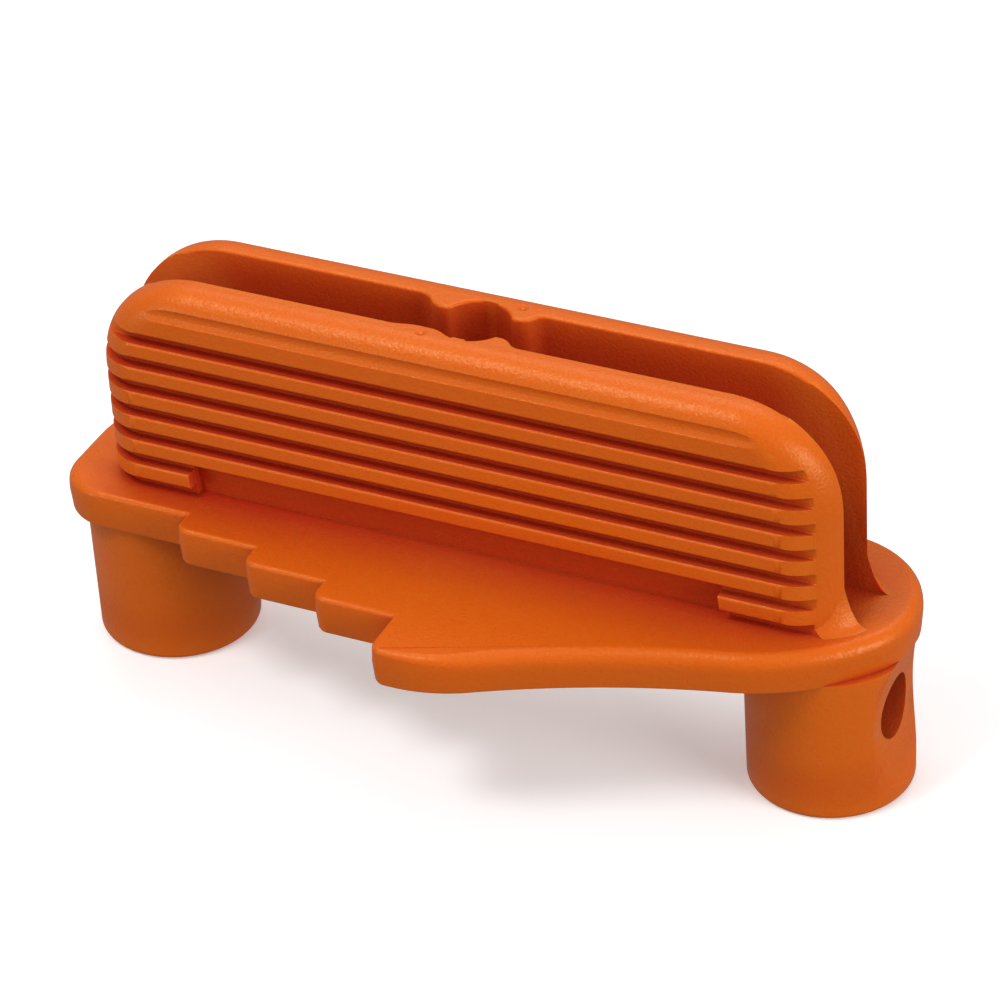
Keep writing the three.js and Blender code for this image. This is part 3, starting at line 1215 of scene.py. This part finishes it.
class GAUGE_OT_deck(bpy.types.Operator):
    """Models the deck with its stepped edge, nose and pencil bore"""

    bl_idname = "gauge.deck"
    bl_label = "Deck"

    def execute(self, context):
        piece = deck_piece(context.scene.gauge_sizes)
        bore_ends = (0, 0, DECK_UNDER - 2), (0, 0, DECK_TOP + 2)
        join_cut(piece, rod("bore_tool", BORE_RADIUS, *bore_ends, 96))
        join_cut(piece, scoop_tool(RIM_SCOOP_SHIFT))
        heal(piece)
        settle(piece, plastic(), "deck_plate")
        return {"FINISHED"}


class GAUGE_OT_posts(bpy.types.Operator):
    """Turns the two posts, scoops the right one and drills its cross hole"""

    bl_idname = "gauge.posts"
    bl_label = "Posts"

    def execute(self, context):
        sizes = context.scene.gauge_sizes
        settle(turned_post("left_post_moulded", -POST_X, sizes), plastic(), "left_post")
        settle(scooped_post(sizes), plastic(), "right_post")
        return {"FINISHED"}


class GAUGE_OT_grip(bpy.types.Operator):
    """Models the two ribbed grip walls with the slot and the pencil guide between them"""

    bl_idname = "gauge.grip"
    bl_label = "Grip"

    def execute(self, context):
        piece = grip_piece(context.scene.gauge_sizes)
        only(piece)
        bpy.ops.mesh.separate(type="LOOSE")
        walls = [o for o in context.scene.objects if o.name.startswith("grip")]
        if len(walls) != 2:
            raise RuntimeError(f"the slotted grip came apart into {len(walls)} pieces, not 2")
        walls.sort(key=lambda wall: min(v.co.y for v in wall.data.vertices))
        for wall, side in zip(walls, ("front", "rear")):
            wall.name = wall.data.name = f"{side}_wall"
            nodes = [n for n in frame["nodes"] if n.startswith(side)]
            settle(wall, plastic(), *nodes)
        return {"FINISHED"}


class GAUGE_OT_studio(bpy.types.Operator):
    """Sets the pale floor, the soft lights and the camera"""

    bl_idname = "gauge.studio"
    bl_label = "Studio"

    def execute(self, context):
        studio = context.scene.gauge_studio
        floor_and_world(context.scene)
        lights()
        camera(studio)
        return {"FINISHED"}


FLOOR_SIZE = 8
LOOK_X = 1.83
LOOK_Z = 27.6
AIM = (0, 0, 0.03)
DOME = ((0.0, (0.24, 0.24, 0.24)), (0.3, (0.28, 0.28, 0.28)), (1.0, (0.48, 0.48, 0.48)))


def floor_and_world(scene):
    deselect_objects()
    bpy.ops.mesh.primitive_grid_add(x_subdivisions=8, y_subdivisions=8, size=FLOOR_SIZE)
    floor = bpy.context.active_object
    floor.name = "studio_floor"
    net = Net("studio_floor")
    place = net.node("ShaderNodeTexCoord").outputs["Object"]
    tone = noise(net, place, 3.0)
    shade = net.node(
        "ShaderNodeMix",
        {"data_type": "RGBA"},
        _0=tone,
        _6=tuple(scene.gauge_finish.floor),
        _7=(0.95, 0.95, 0.95),
    )
    shader = net.node(
        "ShaderNodeBsdfPrincipled",
        None,
        Base_Color=shade.outputs[2],
        Roughness=0.9,
        Emission_Color=(1, 1, 1),
        Emission_Strength=0.3,
    )
    net.node("ShaderNodeOutputMaterial", None, Surface=shader.outputs[0])
    floor.data.materials.append(net.material)
    floor.visible_diffuse = False
    floor.visible_glossy = False
    world = bpy.data.worlds.new("studio")
    world.use_nodes = True
    nodes, links = world.node_tree.nodes, world.node_tree.links
    place = nodes.new("ShaderNodeTexCoord")
    split = nodes.new("ShaderNodeSeparateXYZ")
    dome = nodes.new("ShaderNodeValToRGB")
    Net.set_stops(dome.color_ramp, DOME)
    links.new(place.outputs["Generated"], split.inputs[0])
    links.new(split.outputs["Z"], dome.inputs[0])
    links.new(dome.outputs[0], nodes["Background"].inputs["Color"])
    scene.world = world
    scene.view_settings.view_transform = "Standard"


def softbox(name, place, size, power):
    deselect_objects()
    aim = Vector(AIM) - Vector(place)
    bpy.ops.object.light_add(
        type="AREA", location=place, rotation=aim.to_track_quat("-Z", "Y").to_euler()
    )
    lamp = bpy.context.active_object
    lamp.name = name
    lamp.data.shape = "RECTANGLE"
    lamp.data.size, lamp.data.size_y = size
    lamp.data.energy = power


def lights():
    softbox("key_softbox", (-0.26, -0.34, 0.78), (0.30, 0.22), 2.8)
    softbox("back_softbox", (-0.10, 0.42, 0.78), (0.7, 0.4), 2.2)
    softbox("side_softbox", (0.80, -0.20, 0.25), (0.4, 0.4), 4.0)
    softbox("fill_softbox", (-0.60, -0.70, 0.14), (0.5, 0.3), 1.7)


def camera(studio):
    a, e, r = studio.azimuth, studio.elevation, studio.roll
    target = Vector((LOOK_X, GUIDE_Y, LOOK_Z)) * MM
    back = Vector((sin(a) * cos(e), -cos(a) * cos(e), sin(e)))
    right = Vector((cos(a), sin(a), 0))
    up = back.cross(right)
    across = cos(r) * right + sin(r) * up
    rise = cos(r) * up - sin(r) * right
    bpy.ops.object.camera_add(location=target + studio.distance * back)
    eye = bpy.context.active_object
    turn = Matrix((across, rise, back)).transposed()
    eye.rotation_euler = turn.to_euler()
    eye.data.lens = studio.lens
    eye.data.sensor_width = 36
    eye.data.clip_start = 0.01
    bpy.context.scene.camera = eye


class GAUGE_PT_panel(bpy.types.Panel):
    bl_idname = "GAUGE_PT_panel"
    bl_label = "Marking gauge"
    bl_space_type = "VIEW_3D"
    bl_region_type = "UI"
    bl_category = "Gauge"

    def draw(self, context):
        layout = self.layout
        for group in ("gauge_sizes", "gauge_finish", "gauge_studio"):
            settings = getattr(context.scene, group)
            box = layout.box()
            for name in settings.__annotations__:
                box.prop(settings, name)
        for piece in PIECES:
            layout.operator(piece.bl_idname)


GROUPS = {"gauge_sizes": GaugeSizes, "gauge_finish": GaugeFinish, "gauge_studio": GaugeStudio}
PIECES = (GAUGE_OT_deck, GAUGE_OT_posts, GAUGE_OT_grip, GAUGE_OT_studio)
CLASSES = (*GROUPS.values(), *PIECES, GAUGE_PT_panel)


def register():
    for each in CLASSES:
        bpy.utils.register_class(each)
    for name, group in GROUPS.items():
        setattr(bpy.types.Scene, name, PointerProperty(type=group))


def unregister():
    for name in GROUPS:
        delattr(bpy.types.Scene, name)
    for each in reversed(CLASSES):
        bpy.utils.unregister_class(each)


def main():
    register()
    bpy.ops.gauge.deck()
    bpy.ops.gauge.posts()
    bpy.ops.gauge.grip()
    bpy.ops.gauge.studio()


if __name__ == "__main__":
    main()
